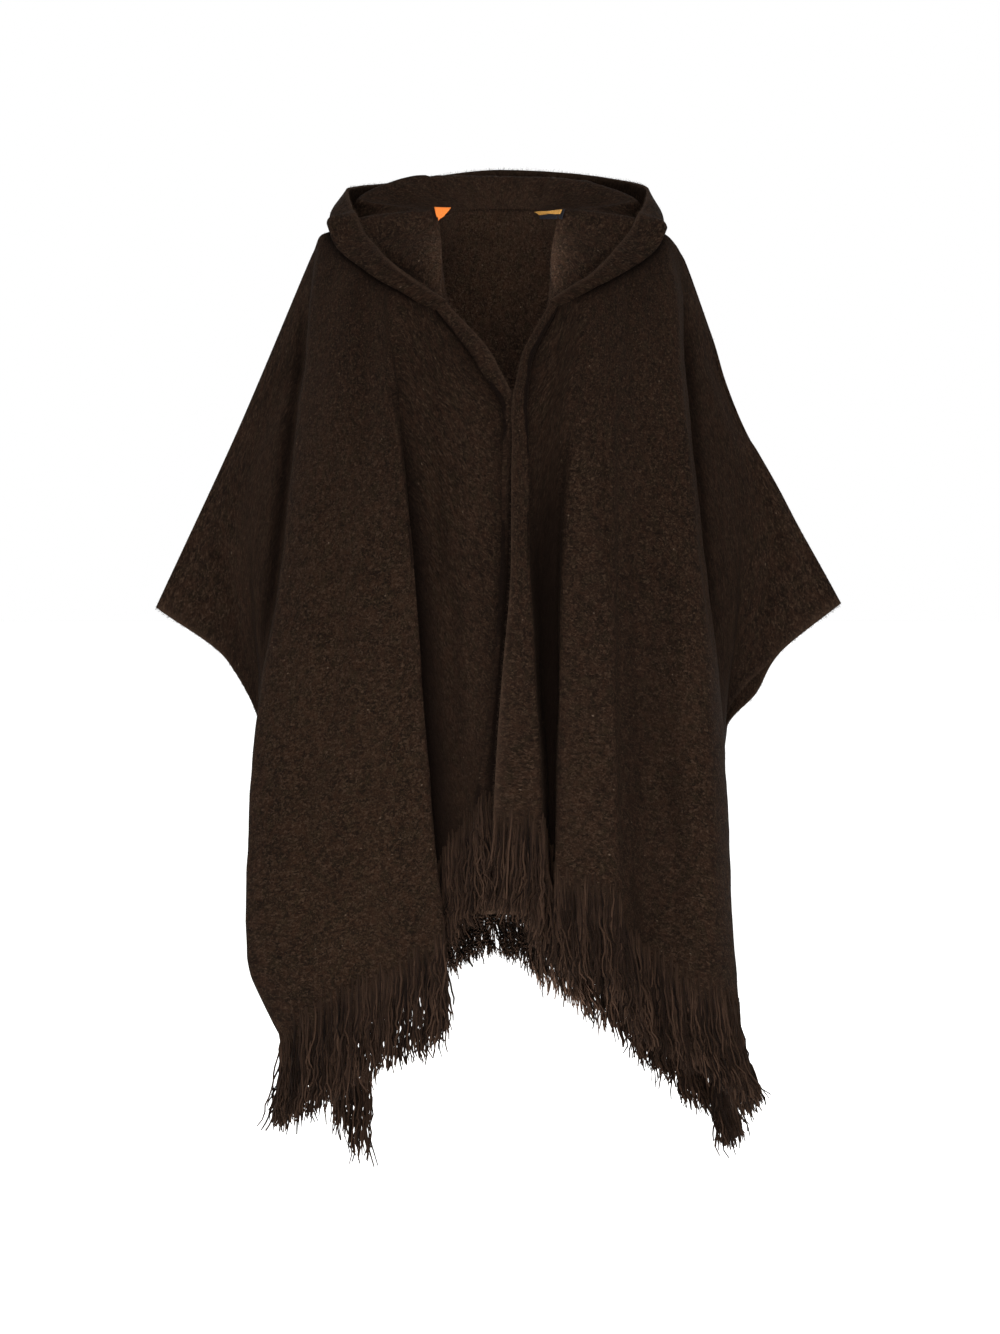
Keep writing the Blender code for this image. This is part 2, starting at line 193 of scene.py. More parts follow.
def foldGrid(cloth):
    lines = []
    rows = np.concatenate([ridgeShares, np.linspace(0.0065, 1.0, cloth["rows"])])
    for name, top, hem, across, depth in cloth["folds"]:
        down = [top + (hem - top) * share for share in stations]
        rounder = cloth["shoulderRound"] if abs(depth[0]) < 5 else 1.0
        stops = np.array([across, down, depth], float).T
        lines.append(smoothLine(stations, stops, rows, start=(1.0, 1.0, rounder)))
    lines = np.array(lines)
    wanted = evenPlaces(lines, cloth["pitch"], cloth["edgeDenser"])
    grid = asSighted(smoothLine(range(len(lines)), lines, wanted))
    turnOverRidge(grid)
    return grid


def turnOverRidge(grid):
    # Rounds the top rows so that front and back meet in a fold along the shoulder.
    onRidge = np.abs(grid[:, 0, 1]) < ridgeNear
    start = grid[:, :1].copy()
    drop = start[..., 2] - grid[..., 2]
    side = np.sign(start[..., 1])
    turned = np.sqrt(np.clip(ridgeRadius**2 - (ridgeRadius - np.clip(drop, 0, ridgeRadius)) ** 2, 0, None))
    depth = side * (0.00015 + turned) + grid[..., 1] - start[..., 1]
    grid[..., 1] = np.where(onRidge[:, None], depth, grid[..., 1])


def addCreases(grid, normals, creases):
    # Each crease: across and down of both ends, half width in mm, height in mm (trough is minus).
    across, down = backToSight(grid)
    height = np.zeros(across.shape)
    for name, x0, y0, x1, y1, halfWidth, rise in creases:
        line = np.array([x1 - x0, y1 - y0])
        length = np.linalg.norm(line)
        along = ((across - x0) * line[0] + (down - y0) * line[1]) / length**2
        wander = 0.35 * halfWidth * np.sin(along * 5.0 + x0)
        away = ((across - x0) * line[1] - (down - y0) * line[0]) / length * sight["unit"] * 1000 + wander
        fade = eased(np.clip(along * 5, 0, 1) * np.clip((1 - along) * 3.2, 0, 1))
        height += rise * creaseStrength * fade * np.exp(-((away / halfWidth) ** 2))
    grid += normals * (height / 1000)[..., None]


def addPulls(grid, pulls):
    # Each pull: across and down of its middle, reach, then shifts across and down, and depth in mm.
    across, down = backToSight(grid)
    for name, x, y, reach, shiftAcross, shiftDown, shiftDepth in pulls:
        share = np.exp(-((across - x) ** 2 + (down - y) ** 2) / reach**2)[..., None]
        shift = (shiftAcross * sight["unit"], shiftDepth / 1000, -shiftDown * sight["unit"])
        grid += share * np.array(shift)


unevenBumps = ((1.1, 0.075, 3), (0.55, 0.028, 5), (0.22, 0.011, 9))  # strength, size and seed of each


def addUnevenness(grid, normals, amount, calmRows):
    # The first rows stay calm, so that the sheets meet on the shoulder.
    calm = np.clip(np.arange(grid.shape[1]) / calmRows, 0, 1)[None, :]
    soft = sum(strength * softNoise(grid, size, seed) for strength, size, seed in unevenBumps)
    grid += normals * (soft * amount * calm)[..., None]


print("stage 2: materials")


class Wire:
    # One output socket, so that shader maths reads as plain expressions.
    def __init__(self, tree, socket):
        self.tree = tree
        self.socket = socket

    def joined(self, operation, first, second):
        node = self.tree.nodes.new("ShaderNodeMath")
        node.operation = operation
        for k, value in enumerate((first, second)):
            if isinstance(value, Wire):
                self.tree.links.new(value.socket, node.inputs[k])
            else:
                node.inputs[k].default_value = value
        return Wire(self.tree, node.outputs[0])

    def __add__(self, other):
        return self.joined("ADD", self, other)

    __radd__ = __add__

    def __rsub__(self, other):
        return self.joined("SUBTRACT", other, self)

    def __mul__(self, other):
        return self.joined("MULTIPLY", self, other)

    __rmul__ = __mul__

    def __pow__(self, other):
        return self.joined("POWER", self, other)


class Finish:
    # One material and the single method that adds its nodes.
    def __init__(self, name):
        self.material = bpy.data.materials.new(name)
        self.material.use_nodes = True
        self.tree = self.material.node_tree
        self.tree.nodes.clear()

    def put(self, kind, settings=None, values=None, output=0):
        node = self.tree.nodes.new(kind)
        for key, value in (settings or {}).items():
            if key == "stops":
                for element, (place, shade) in zip(node.color_ramp.elements, value):
                    element.position = place
                    element.color = (shade, shade, shade, 1)
            else:
                setattr(node, key, value)
        for key, value in (values or {}).items():
            if isinstance(value, Wire):
                self.tree.links.new(value.socket, node.inputs[key])
            else:
                node.inputs[key].default_value = value
        return Wire(self.tree, node.outputs[output])

    def noise(self, where, size, detail=2.0, roughness=0.5, distortion=0.0):
        values = {"Vector": where, "Scale": 1 / size, "Detail": detail}
        values.update(Roughness=roughness, Distortion=distortion)
        return self.put("ShaderNodeTexNoise", None, values)

    def ramp(self, value, low, high):
        stops = ((low, 0.0), (high, 1.0))
        return self.put("ShaderNodeValToRGB", {"stops": stops}, {"Fac": value})

    def mix(self, share, first, second):
        values = {0: share, 6: first, 7: second}
        return self.put("ShaderNodeMix", {"data_type": "RGBA"}, values, output=2)

    def finish(self, values, height=None, distance=0.001, strength=1.0):
        if height is not None:
            bump = {"Height": height, "Distance": distance, "Strength": strength}
            values = dict(values, Normal=self.put("ShaderNodeBump", None, bump))
        surface = self.put("ShaderNodeBsdfPrincipled", None, values)
        node = self.tree.nodes.new("ShaderNodeOutputMaterial")
        self.tree.links.new(surface.socket, node.inputs["Surface"])
        return self.material


def colour(red, green, blue):
    return (red, green, blue, 1.0)


wool = {
    "deep": colour(0.0026, 0.0013, 0.0008),
    "brown": colour(0.0132, 0.0072, 0.0042),
    "russet": colour(0.0150, 0.0071, 0.0041),
    "moss": colour(0.0096, 0.0062, 0.0032),
    "fleck": colour(0.0300, 0.0182, 0.0116),
    "speck": colour(0.0800, 0.0560, 0.0400),
    "paintedEdgeLight": colour(0.0300, 0.0180, 0.0120),
    "nap": colour(0.0340, 0.0215, 0.0145),
    "sheen": colour(0.70, 0.42, 0.27),
}


def woolSurface(shade, roughness, specular, sheen, sheenRoughness):
    return {
        "Base Color": shade,
        "Roughness": roughness,
        "Specular IOR Level": specular,
        "Sheen Weight": sheen,
        "Sheen Roughness": sheenRoughness,
        "Sheen Tint": wool["sheen"],
    }


def woolFinish(name):
    m = Finish(name)
    place = m.put("ShaderNodeTexCoord", output=3)
    flat = m.put("ShaderNodeUVMap", {"uv_map": "clothMetres"})
    streaks = m.put("ShaderNodeMapping", None, {"Vector": flat, "Scale": (1.0, 0.60, 1.0)})
    upright = m.put("ShaderNodeMapping", None, {"Vector": place, "Scale": (1.0, 1.0, 0.42)})
    cloudy = m.noise(upright, 0.050, 3.0, 0.55)
    patchy = m.noise(streaks, 0.0120, 3.0, 0.60, 0.5)
    felt = m.noise(flat, 0.0068, 2.0, 0.60, 0.8)
    fibre = m.noise(flat, 0.0029, 2.0, 0.60, 1.2)
    hue = m.noise(streaks, 0.0100, 3.0, 0.6, 0.5)
    body = m.ramp(0.55 * cloudy + 0.45 * patchy, 0.38, 0.62)
    shade = m.mix(0.12 + 0.42 * body + 0.46 * m.ramp(felt, 0.42, 0.58), wool["deep"], wool["brown"])
    shade = m.mix(m.ramp(hue, 0.46, 0.64) * 0.62, shade, wool["russet"])
    shade = m.mix(m.ramp(1 - hue, 0.53, 0.66) * 0.50, shade, wool["moss"])
    shade = m.mix(m.ramp(fibre, 0.52, 0.68) * 0.75, shade, wool["fleck"])
    shade = m.mix(m.ramp(1 - fibre, 0.52, 0.68) * 0.75, shade, wool["deep"])
    dots = m.put("ShaderNodeTexVoronoi", None, {"Vector": flat, "Scale": 1 / 0.015})
    specks = m.ramp(1 - dots, 0.925, 0.955) * m.ramp(felt, 0.50, 0.58)
    shade = m.mix(specks * 0.7, shade, wool["speck"])
    # Painted highlight: cloth a few mm from its free edges is painted lighter, where light catches the edge
    # fuzz.
    paintedEdgeLight = m.put("ShaderNodeAttribute", {"attribute_name": "paintedEdgeLight"}, output=2)
    shade = m.mix(paintedEdgeLight * (0.25 + 0.6 * felt), shade, wool["paintedEdgeLight"])
    # Painted shade: where nearby cloth hides a point from light, it is painted darker towards the deep
    # colour.
    paintedShelterShade = m.put("ShaderNodeAttribute", {"attribute_name": "shelter"}, output=2)
    shade = m.mix(paintedShelterShade * 0.9, shade, wool["deep"])
    height = 0.45 * fibre + 0.35 * felt + 0.30 * patchy
    return m.finish(woolSurface(shade, 0.78 + 0.2 * felt, 0.03, 0.012, 0.40), height, 0.0040, 1.0)


yarn = {
    "dark": colour(0.0010, 0.0005, 0.0003),
    "light": colour(0.0330, 0.0182, 0.0116),
    "tip": colour(0.0440, 0.0248, 0.0160),
}


def yarnFinish(name):
    m = Finish(name)
    tone = m.put("ShaderNodeAttribute", {"attribute_name": "tone"}, output=2)
    along = m.put("ShaderNodeAttribute", {"attribute_name": "along"}, output=2)
    place = m.put("ShaderNodeTexCoord", output=3)
    grain = m.noise(place, 0.0016, 2.0, 0.6)
    shade = m.mix(m.ramp(0.80 * tone + 0.35 * grain, 0.16, 0.98), yarn["dark"], yarn["light"])
    shade = m.mix((along**3.0) * tone * 0.7, shade, yarn["tip"])
    shade = m.mix(m.ramp(1 - along, 0.80, 0.98) * 0.75, shade, wool["brown"])
    return m.finish(woolSurface(shade, 0.75 + 0.2 * grain, 0.04, 0.015, 0.5), grain, 0.0004, 0.6)


def napFinish(name):
    m = Finish(name)
    tone = m.put("ShaderNodeAttribute", {"attribute_name": "tone"}, output=2)
    shade = m.mix(tone, wool["brown"], wool["nap"])
    values = {"Base Color": shade, "Roughness": 0.9, "Specular IOR Level": 0.04}
    return m.finish(values)


def ribbonFinish(name, ground, thread, ribs, gloss):
    m = Finish(name)
    flat = m.put("ShaderNodeUVMap", {"uv_map": "clothMetres"})
    wave = {"wave_type": "BANDS", "bands_direction": "X"}
    warp = m.put("ShaderNodeTexWave", wave, {"Vector": flat, "Scale": ribs})
    weft = m.put("ShaderNodeTexWave", dict(wave, bands_direction="Y"), {"Vector": flat, "Scale": ribs * 1.3})
    grain = m.noise(flat, 0.0012, 2.0)
    weave = 0.5 * warp + 0.3 * weft + 0.2 * grain
    values = {
        "Base Color": m.mix(weave, ground, thread),
        "Roughness": gloss + 0.15 * grain,
        "Specular IOR Level": 0.12,
    }
    return m.finish(values, weave, 0.0003, 0.7)


woolCloth = woolFinish("brushedWool")
woolYarn = yarnFinish("twistedYarn")
woolNap = napFinish("woolNap")


def keep(piece, material, slot, *nodes):
    if material.name not in piece.data.materials:
        piece.data.materials.append(material)
    if nodes:
        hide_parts(*nodes)
    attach(piece, rideBody)


def paintedEdgeLightShare(grid, sides, reach=0.0022):
    # Painted highlight of the lit fuzzy edges: one at the free edges named, falling to nought a few mm in
    # from them.
    across, down = flatPlaces(grid)
    away = {
        "first": across[:, None] + 0 * down,
        "last": across[-1] - across[:, None] + 0 * down,
        "top": down,
        "bottom": down[:, -1:] - down,
    }
    return np.exp(-np.min([away[side] for side in sides], axis=0) / reach)


shelter = {
    "rays": 14,
    "reach": 0.130,  # cloth further off than this takes no light away
    "stand": 0.0026,
    "strength": 2.3,
}


def gridTree(grids):
    points, faces = [], []
    for grid in grids:
        columns, rows = grid.shape[:2]
        a = len(points) + (np.arange(columns - 1)[:, None] * rows + np.arange(rows - 1)[None, :]).ravel()
        faces += np.stack([a, a + rows, a + rows + 1, a + 1], axis=1).tolist()
        points += [Vector(p) for p in grid.reshape(-1, 3)]
    return BVHTree.FromPolygons(points, faces)


def blurred(values, rounds):
    for _ in range(rounds):
        wide = np.pad(values, ((1, 1), (1, 1), (0, 0)), mode="edge")
        near = wide[:-2, 1:-1] + wide[2:, 1:-1] + wide[1:-1, :-2] + wide[1:-1, 2:]
        values = 0.4 * values + 0.15 * near
    return values


def shelterShade(grid, normals, tree):
    # How much light nearby cloth takes from each point of the outer face, from 0 to 1.
    number = np.arange(shelter["rays"]) + 0.5
    polar = np.arccos(1 - 2 * number / shelter["rays"])
    turn = np.pi * (1 + 5**0.5) * number
    ways = np.stack([np.cos(turn) * np.sin(polar), np.sin(turn) * np.sin(polar), np.cos(polar)], axis=1)
    taken = np.zeros(grid.shape[:2] + (1,))
    for i in range(grid.shape[0]):
        for j in range(grid.shape[1]):
            start = Vector(grid[i, j] + normals[i, j] * shelter["stand"])
            for way in normals[i, j] + 0.95 * ways:
                distance = tree.ray_cast(start, Vector(way), shelter["reach"])[3]
                if distance is not None:
                    taken[i, j] += 1 - distance / shelter["reach"]
    taken = blurred(taken / shelter["rays"], 2)[..., 0]
    return np.clip(taken * shelter["strength"], 0, 1)


def writeShades(mesh, shades):
    for name, values in shades.items():
        layer = mesh.attributes.new(name, "FLOAT", "POINT")
        layer.data.foreach_set("value", np.asarray(values, np.float32))


def addSheet(name, grid, normals, thickness, sides=("first", "last", "bottom"), paintedShelterShade=None):
    # A flat grid is added and its points are moved onto the shaped cloth, then it gets a thickness.
    columns, rows = grid.shape[:2]
    bpy.ops.object.select_all(action="DESELECT")
    bpy.ops.mesh.primitive_grid_add(x_subdivisions=columns - 1, y_subdivisions=rows - 1, size=2)
    piece = bpy.context.object
    piece.name = piece.data.name = name
    mesh = piece.data
    start = np.zeros(len(mesh.vertices) * 3)
    mesh.vertices.foreach_get("co", start)
    start = start.reshape(-1, 3)
    i = np.rint((start[:, 0] + 1) / 2 * (columns - 1)).astype(int)
    j = np.rint((1 - start[:, 1]) / 2 * (rows - 1)).astype(int)
    mesh.vertices.foreach_set("co", grid[i, j].ravel())
    across, down = flatPlaces(grid)
    u, v = across[i], down[i, j]
    mesh.uv_layers[0].name = "clothMetres"
    corners = np.zeros(len(mesh.loops), np.int32)
    mesh.loops.foreach_get("vertex_index", corners)
    mesh.uv_layers[0].data.foreach_set("uv", np.stack([u[corners], -v[corners]], axis=1).ravel())
    paintedShelterShade = np.zeros((columns, rows)) if paintedShelterShade is None else paintedShelterShade
    writeShades(mesh, {"paintedEdgeLight": paintedEdgeLightShare(grid, sides)[i, j], "shelter": paintedShelterShade[i, j]})
    mesh.update()
    middle = mesh.polygons[len(mesh.polygons) // 2]
    spot = middle.vertices[0]
    if middle.normal.dot(Vector(normals[i[spot], j[spot]])) < 0:
        mesh.flip_normals()
    solid = piece.modifiers.new("cloth thickness", "SOLIDIFY")
    solid.thickness = thickness
    solid.offset = 0.0
    soft = piece.modifiers.new("soft edge", "BEVEL")
    soft.width = thickness * 0.34
    soft.segments = 2
    soft.limit_method = "ANGLE"
    soft.angle_limit = np.radians(72)
    for modifier in list(piece.modifiers):
        bpy.ops.object.modifier_apply(modifier=modifier.name)
    bpy.ops.object.shade_smooth()
    return piece


def meshFromArrays(name, points, faces, attributes):
    mesh = bpy.data.meshes.new(name)
    mesh.vertices.add(len(points))
    mesh.vertices.foreach_set("co", np.asarray(points, np.float32).ravel())
    sides = faces.shape[1]
    mesh.loops.add(faces.size)
    mesh.loops.foreach_set("vertex_index", faces.astype(np.int32).ravel())
    mesh.polygons.add(len(faces))
    mesh.polygons.foreach_set("loop_start", np.arange(len(faces), dtype=np.int32) * sides)
    writeShades(mesh, attributes)
    mesh.update(calc_edges=True)
    mesh.validate()
    mesh.shade_smooth()
    piece = bpy.data.objects.new(name, mesh)
    bpy.context.scene.collection.objects.link(piece)
    return piece


nap = {
    "length": (0.0016, 0.0038),
    "width": 0.00020,
    "perSquareMetre": 22000,
    "innerShare": 0.35,
    "edgePitch": 0.00042,
    "edgeLength": (0.0014, 0.0040),
}


def napOn(name, grid, normals, thickness, edges, seed):
    # Short loose fibres that stand off the brushed cloth, thicker along its free edges.
    random = np.random.default_rng(seed)
    across, down = np.diff(grid, axis=0)[:, :-1], np.diff(grid, axis=1)[:-1]
    area = np.linalg.norm(np.cross(across, down), axis=-1)
    count = int(area.sum() * nap["perSquareMetre"])
    cell = random.choice(area.size, size=count, p=(area / area.sum()).ravel())
    i, j = np.unravel_index(cell, area.shape)
    side = np.where(random.random(count) < nap["innerShare"], -1.0, 1.0)[:, None]
    root = grid[i, j] + across[i, j] * random.random((count, 1)) + down[i, j] * random.random((count, 1))
    root = root + normals[i, j] * side * (thickness / 2 - 0.0003)
    loose = random.normal(size=(count, 3)) * 0.75
    stand = unitVectors(normals[i, j] * side * 0.75 + unitVectors(down[i, j]) * 0.55 + loose)
    flip = np.sum(stand * normals[i, j] * side, axis=1, keepdims=True) < 0.15
    stand = unitVectors(np.where(flip, stand + normals[i, j] * side * 0.6, stand))
    length = random.uniform(*nap["length"], (count, 1))
    roots, tips = [root], [root + stand * length]
    for line, out in edges:
        travel = lineLength(line)
        number = int(travel[-1] / nap["edgePitch"])
        spot = random.uniform(0, travel[-1], number)
        base = valuesAt(spot, travel, line)
        away = unitVectors(valuesAt(spot, travel, out))
        base = base + random.normal(size=base.shape) * 0.0006
        point = unitVectors(away + random.normal(size=away.shape) * 0.55)
        roots.append(base)
        tips.append(base + point * random.uniform(*nap["edgeLength"], (number, 1)))
    root, tip = np.concatenate(roots), np.concatenate(tips)
    aside = unitVectors(np.cross(tip - root, random.normal(size=root.shape))) * nap["width"] / 2
    bend = (root + tip) / 2 + random.normal(size=root.shape) * 0.00035
    points = np.stack([root - aside, root + aside, bend + aside * 0.8, bend - aside * 0.8, tip], axis=1)
    first = np.arange(len(root))[:, None] * 5
    faces = np.concatenate([first + [0, 1, 2], first + [0, 2, 3], first + [3, 2, 4]])
    tone = random.random(len(root)) * 0.6
    # Fibres along the free edges get a lighter tone: a painted highlight where light catches the edge fuzz.
    tone[count:] += 0.4
    piece = meshFromArrays(name, points.reshape(-1, 3), faces, {"tone": np.repeat(tone, 5)})
    keep(piece, woolNap, "wool_cloth")
    return piece


def edgeOf(grid, which):
    if which == "first":
        return grid[0], grid[0] - grid[1]
    if which == "last":
        return grid[-1], grid[-1] - grid[-2]
    if which == "top":
        return grid[:, 0], grid[:, 0] - grid[:, 1]
    return grid[:, -1], grid[:, -1] - grid[:, -2]


print("stage 3: cloth panels")

frontLeftCloth = {
    "node": "front_panel_l",
    "outward": 1,
    "pitch": 0.0051,
    "rows": 156,
    "edgeDenser": 2.2,
    "shoulderRound": 1.7,
    # name, down at top, down at hem, across at each station, depth in mm at each station
    "folds": (
        ("front edge", 302, 812, (446, 495, 512, 511, 505, 498, 490),
         (-109, -145, -168, -175, -180, -180, -175)),
        ("band edge", 308, 811, (436, 480, 504, 501, 495, 485, 473),
         (-109, -151, -177, -186, -192, -191, -184)),
        ("under band", 306, 812, (439, 485, 507, 505, 500, 490, 478),
         (-101, -144, -170, -179, -185, -184, -177)),
        ("recess", 268, 846, (441, 450, 462, 460, 457, 455, 455),
         (-62, -122, -158, -170, -168, -160, -150)),
        ("deep valley", 219, 879, (436, 404, 401, 411, 420, 427, 433),
         (-1.9, -94, -143, -157, -153, -145, -136)),
        ("valley wall", 220, 886, (418, 389, 392, 402, 411, 419, 425),
         (-1.9, -93, -149, -170, -166, -158, -149)),
        ("pleat ridge", 222, 945, (398, 383, 400, 414, 425, 435, 444),
         (-1.9, -96, -162, -186, -184, -175, -165)),
        ("pleat face", 227, 988, (365, 350, 349, 350, 355, 363, 374),
         (-1.9, -92, -150, -170, -168, -160, -150)),
        ("pleat outer", 231, 1021, (340, 326, 314, 303, 299, 306, 323),
         (-1.9, -80, -128, -148, -150, -146, -138)),
        ("pleat edge", 236, 1045, (322, 307, 289, 267, 250, 247, 285),
         (-1.9, -58, -95, -116, -118, -114, -105)),
        ("wing valley", 254, 1050, (314, 311, 296, 276, 259, 257, 289),
         (-1.9, -40, -71, -88, -94, -93, -89)),
        ("wing face", 424, 1051, (242, 247, 256, 262, 262, 266, 292),
         (-1.9, -32, -46, -44, -44, -44, -48)),
        ("side edge", 608, 1052, (157, 228, 263, 267, 269, 274, 296),
         (-1.9, -16, -12, -9, -10, -14, -24)),
    ),
    # name, across and down of its start, across and down of its end, half width, height
    "creases": (
        ("wing valley line", 309, 290, 255, 706, 6, -4.5),
        ("pleat trough", 358, 370, 335, 780, 15, -3.2),
        ("shoulder drop", 372, 262, 352, 520, 11, -3.0),
        ("shoulder roll", 390, 300, 396, 620, 9, 2.2),
        ("long soft trough", 334, 420, 322, 800, 14, -3.8),
        ("low swell", 352, 640, 336, 980, 18, 3.6),
        ("lower trough", 300, 700, 312, 1000, 10, -3.2),
        ("chest trough", 432, 330, 446, 640, 9, -2.4),
        ("chest swell", 470, 420, 474, 760, 10, 2.2),
        ("recess trough", 452, 560, 462, 830, 7, -2.0),
        ("wing drag", 300, 330, 214, 560, 13, -3.4),
        ("wing drag low", 258, 430, 190, 610, 10, 2.6),
        ("cuff trough", 210, 520, 246, 660, 9, -2.2),
    ),
    "pulls": (("front closes", 503, 402, 27, 9, 0, 0),),
}

frontRightCloth = {
    "node": "front_panel_r",
    "outward": -1,
    "pitch": 0.0051,
    "rows": 156,
    "edgeDenser": 2.2,
    "shoulderRound": 1.7,
    "folds": (
        ("front edge", 302, 823, (550, 520, 512, 511, 502, 496, 493),
         (-108, -144, -173, -186, -196, -197, -191)),
        ("band edge", 307, 835, (557, 530, 528, 529, 534, 537, 540),
         (-108, -151, -179, -190, -196, -194, -186)),
        ("under band", 305, 850, (554, 525, 524, 531, 538, 543, 545),
         (-101, -144, -171, -174, -167, -162, -158)),
        ("deep valley", 268, 865, (551, 555, 544, 541, 544, 547, 548),
         (-62, -126, -156, -149, -136, -130, -126)),
        ("valley side", 219, 870, (562, 586, 568, 558, 560, 561, 561),
         (-1.9, -97, -156, -158, -146, -140, -134)),
        ("stripe left", 222, 884, (598, 602, 583, 566, 560, 558, 556),
         (-1.9, -96, -160, -180, -184, -180, -174)),
        ("stripe right", 224, 900, (618, 622, 611, 611, 611, 613, 611),
         (-1.9, -92, -158, -176, -180, -176, -168)),
        ("step", 226, 942, (630, 633, 620, 618, 620, 624, 628),
         (-1.9, -90, -152, -166, -168, -162, -154)),
        ("soft valley", 229, 960, (645, 652, 652, 655, 655, 651, 646),
         (-1.9, -80, -132, -144, -143, -136, -128)),
        ("outer ridge", 235, 998, (664, 680, 690, 700, 706, 708, 703),
         (-1.9, -70, -122, -146, -156, -154, -148)),
        ("pleat edge", 242, 1015, (672, 685, 698, 715, 726, 732, 738),
         (-1.9, -46, -82, -102, -110, -110, -104)),
        ("wing valley", 258, 1020, (681, 682, 692, 706, 718, 724, 733),
         (-1.9, -36, -66, -83, -89, -89, -85)),
        ("wing face", 424, 1024, (744, 742, 735, 724, 718, 718, 724),
         (-1.9, -30, -42, -40, -40, -40, -42)),
        ("side edge", 604, 1026, (840, 777, 722, 716, 713, 714, 718),
         (-1.9, -16, -12, -9, -10, -12, -20)),
    ),
    "creases": (
        ("wing valley line", 677, 290, 723, 706, 6, -3.6),
        ("shoulder drop", 628, 262, 650, 500, 11, -2.8),
        ("chest hollow", 580, 330, 592, 470, 12, -2.4),
        ("stripe start", 602, 424, 612, 640, 5, -2.6),
        ("stripe swell", 590, 440, 588, 860, 11, 2.4),
        ("long soft trough", 640, 430, 646, 860, 12, -3.0),
        ("ridge swell", 676, 420, 694, 900, 14, 2.8),
        ("low trough", 668, 760, 676, 980, 9, -2.2),
        ("front swell", 520, 600, 516, 800, 6, 1.6),
        ("wing drag", 706, 330, 782, 560, 13, -3.2),
        ("wing drag low", 738, 420, 812, 606, 10, 2.6),
        ("cuff trough", 780, 520, 752, 650, 9, -2.2),
    ),
    "pulls": (
        ("cuff drawn in", 746, 694, 26, -3, -1, 0),
        ("front closes", 516, 404, 24, -3, 0, -3),
    ),
}

backCloth = {
    "node": "back_panel",
    "outward": 1,
    "pitch": 0.0058,
    "rows": 150,
    "edgeDenser": 1.0,
    "shoulderRound": 1.7,
    "folds": (
        ("left side edge", 608, 1061, (157, 229, 265, 272, 292, 328, 366),
         (1.9, 10, -4, 3, 12, 22, 34)),
        ("left wing", 424, 1004, (242, 247, 259, 262, 263, 276, 300),
         (1.9, 30, 45, 50, 54, 58, 60)),
        ("left wing valley", 254, 988, (314, 308, 290, 272, 262, 266, 290),
         (1.9, 40, 68, 80, 88, 92, 94)),
        ("left ridge", 236, 970, (323, 318, 298, 283, 278, 286, 308),
         (1.9, 75, 116, 136, 145, 145, 140)),
        ("left valley", 226, 948, (372, 360, 345, 338, 338, 345, 356),
         (1.9, 88, 122, 128, 121, 116, 112)),
        ("left fold", 219, 922, (436, 410, 403, 398, 396, 399, 406),
         (1.9, 102, 149, 166, 168, 164, 158)),
        ("left inner valley", 212, 915, (462, 459, 456, 452, 448, 448, 454),
         (48, 108, 133, 137, 132, 127, 122)),
        ("centre fold", 211, 914, (500, 503, 506, 509, 510, 508, 503),
         (62, 114, 145, 157, 160, 158, 152)),
        ("right inner valley", 212, 920, (537, 546, 554, 560, 562, 560, 554),
         (48, 104, 129, 128, 121, 116, 113)),
        ("right fold", 219, 944, (562, 592, 600, 606, 608, 606, 600),
         (1.9, 100, 146, 160, 163, 161, 156)),
        ("right valley", 226, 990, (628, 640, 655, 661, 661, 656, 650),
         (1.9, 88, 120, 126, 119, 112, 108)),
        ("right ridge", 242, 1034, (671, 682, 698, 710, 714, 710, 700),
         (1.9, 75, 114, 132, 140, 138, 130)),
        ("right wing valley", 258, 1050, (682, 691, 706, 718, 722, 724, 722),
         (1.9, 40, 66, 76, 82, 84, 84)),
        ("right wing", 424, 1058, (744, 742, 733, 724, 721, 721, 720),
         (1.9, 30, 42, 44, 45, 45, 44)),
        ("right side edge", 604, 1062, (840, 774, 722, 718, 716, 715, 714),
         (1.9, 14, -2, 4, 8, 11, 14)),
    ),
    "creases": (
        ("left shoulder drop", 382, 270, 366, 540, 12, -3.2),
        ("left swell", 410, 330, 420, 700, 12, 2.6),
        ("left low trough", 360, 620, 372, 900, 12, -3.2),
        ("middle trough", 478, 420, 470, 800, 11, -2.8),
        ("middle swell", 520, 500, 528, 840, 12, 2.6),
        ("right trough", 574, 380, 584, 760, 12, -3.0),
        ("right swell", 628, 420, 636, 860, 14, 2.8),
        ("right low trough", 676, 640, 682, 960, 12, -3.0),
        ("left wing drag", 306, 340, 218, 560, 14, -3.4),
        ("right wing drag", 700, 340, 778, 560, 14, -3.4),
        ("left wing swell", 262, 440, 196, 600, 10, 2.4),
        ("right wing swell", 742, 440, 806, 600, 10, 2.4),
    ),
    "pulls": (("cuff let out", 750, 694, 27, 9, 4, 8),),
}

clothThickness = 0.0032
unevenness = 0.0013
creaseStrength = 1.7


def shapePanel(cloth):
    grid = foldGrid(cloth)
    addPulls(grid, cloth["pulls"])
    normals = gridNormals(grid, cloth["outward"])
    addCreases(grid, normals, cloth["creases"])
    addUnevenness(grid, normals, unevenness, 12)
    return grid, gridNormals(grid, cloth["outward"])


panelTables = {"frontLeft": frontLeftCloth, "frontRight": frontRightCloth, "back": backCloth}
shapes = {name: shapePanel(table) for name, table in panelTables.items()}
panelTrees = [gridTree([grid]) for grid, normals in shapes.values()]

print("stage 4: hood")

